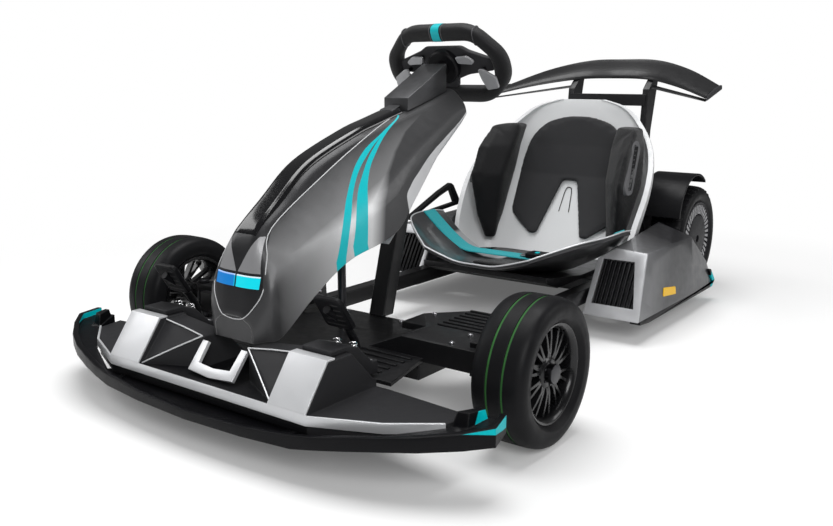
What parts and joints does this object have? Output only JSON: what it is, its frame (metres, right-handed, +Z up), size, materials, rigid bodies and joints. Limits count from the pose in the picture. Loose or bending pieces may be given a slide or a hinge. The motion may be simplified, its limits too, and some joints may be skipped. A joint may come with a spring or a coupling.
{
  "type": "electric go-kart",
  "caption": "Low electric go-kart with a crescent front bumper, slim nose fairing, bucket seat, small rear wing and free-turning wheels with linked steering.",
  "frame": {"origin": "on the ground under the middle of the kart's length and width", "axes": "+Z up, +Y to the kart's rear, +X to the kart's left"},
  "size_m": [0.868, 1.472, 0.605],
  "materials": {
    "tyre": "matte",
    "rim_black": "satin",
    "steel": "satin",
    "frame_black": "satin",
    "bumper_black": "matte",
    "charcoal": "satin",
    "silver": "satin metallic",
    "grey_metallic": "metallic",
    "light_bar": "glowing",
    "gloss_black": "gloss",
    "grip_black": "matte",
    "tray_grey": "satin",
    "pad_charcoal": "matte",
    "pad_black": "matte",
    "strap_teal": "woven",
    "pod_grey": "metallic",
    "wing_black": "satin"
  },
  "bodies": {
    "chassis": {"frame_rails": "frame_black", "floor_pan": "frame_black", "front_bumper": "bumper_black", "front_deck": "charcoal", "deck_trim": "silver", "nose_shell": "grey_metallic", "headlight": "light_bar", "nose_liner": "silver", "nose_spine": "gloss_black", "column_cover": "grey_metallic", "column_post": "frame_black", "seat_shell": "silver", "seat_tray": "tray_grey", "seat_base": "frame_black", "back_pad": "pad_charcoal", "seat_bolsters": "pad_black", "base_pad": "pad_black", "lap_belt": "strap_teal", "belt_buckle": "gloss_black", "rear_pod_left": "pod_grey", "rear_pod_right": "pod_grey", "pod_grilles": "bumper_black", "rear_skirts": "bumper_black", "rear_unit": "frame_black", "fenders": "bumper_black", "wing": "wing_black", "wing_mount": "wing_black", "pedals": "steel", "pedal_bases": "frame_black", "hand_lever": "grip_black"},
    "steering": {"steering_rim": "grip_black", "steering_hub": "charcoal"},
    "shaft": {"steering_shaft": "steel"},
    "knuckle_left": {"knuckle_left": "steel"},
    "knuckle_right": {"knuckle_right": "steel"},
    "tie_rod_left": {"tie_rod_left": "steel"},
    "tie_rod_right": {"tie_rod_right": "steel"},
    "front_wheel_left": {"front_tyre_left": "tyre", "front_rim_left": "rim_black"},
    "front_wheel_right": {"front_tyre_right": "tyre", "front_rim_right": "rim_black"},
    "rear_wheel_left": {"rear_tyre_left": "tyre", "rear_rim_left": "rim_black"},
    "rear_wheel_right": {"rear_tyre_right": "tyre", "rear_rim_right": "rim_black"}
  },
  "joints": [
    {"name": "steering_turn", "type": "hinge", "parent": "chassis", "child": "steering", "pos_m": [0, -0.094, 0.535], "axis": [0, 0.891, 0.454], "range_deg": [-45, 45]},
    {"name": "shaft_turn", "type": "hinge", "parent": "chassis", "child": "shaft", "pos_m": [0, -0.399, 0.1], "axis": [0, 0, 1], "range_deg": [-45, 45]},
    {"name": "knuckle_turn_left", "type": "hinge", "parent": "chassis", "child": "knuckle_left", "pos_m": [0.325, -0.421, 0.108], "axis": [0, 0, 1], "range_deg": [-20.25, 20.25]},
    {"name": "rod_turn_left", "type": "hinge", "parent": "knuckle_left", "child": "tie_rod_left", "pos_m": [0.325, -0.344, 0.054], "axis": [0, 0, 1], "range_deg": [-20.25, 20.25]},
    {"name": "front_wheel_spin_left", "type": "hinge", "parent": "knuckle_left", "child": "front_wheel_left", "pos_m": [0.3765, -0.421, 0.108], "axis": [1, 0, 0], "continuous": true},
    {"name": "rear_wheel_spin_left", "type": "hinge", "parent": "chassis", "child": "rear_wheel_left", "pos_m": [0.214, 0.609, 0.127], "axis": [1, 0, 0], "continuous": true},
    {"name": "knuckle_turn_right", "type": "hinge", "parent": "chassis", "child": "knuckle_right", "pos_m": [-0.325, -0.421, 0.108], "axis": [0, 0, 1], "range_deg": [-20.25, 20.25]},
    {"name": "rod_turn_right", "type": "hinge", "parent": "knuckle_right", "child": "tie_rod_right", "pos_m": [-0.325, -0.344, 0.054], "axis": [0, 0, 1], "range_deg": [-20.25, 20.25]},
    {"name": "front_wheel_spin_right", "type": "hinge", "parent": "knuckle_right", "child": "front_wheel_right", "pos_m": [-0.3765, -0.421, 0.108], "axis": [1, 0, 0], "continuous": true},
    {"name": "rear_wheel_spin_right", "type": "hinge", "parent": "chassis", "child": "rear_wheel_right", "pos_m": [-0.214, 0.609, 0.127], "axis": [1, 0, 0], "continuous": true}
  ],
  "couplings": [
    {"joint": "shaft_turn", "follows": "steering_turn", "ratio": 1},
    {"joint": "knuckle_turn_left", "follows": "steering_turn", "ratio": 0.45},
    {"joint": "rod_turn_left", "follows": "steering_turn", "ratio": -0.45},
    {"joint": "knuckle_turn_right", "follows": "steering_turn", "ratio": 0.45},
    {"joint": "rod_turn_right", "follows": "steering_turn", "ratio": -0.45}
  ]
}
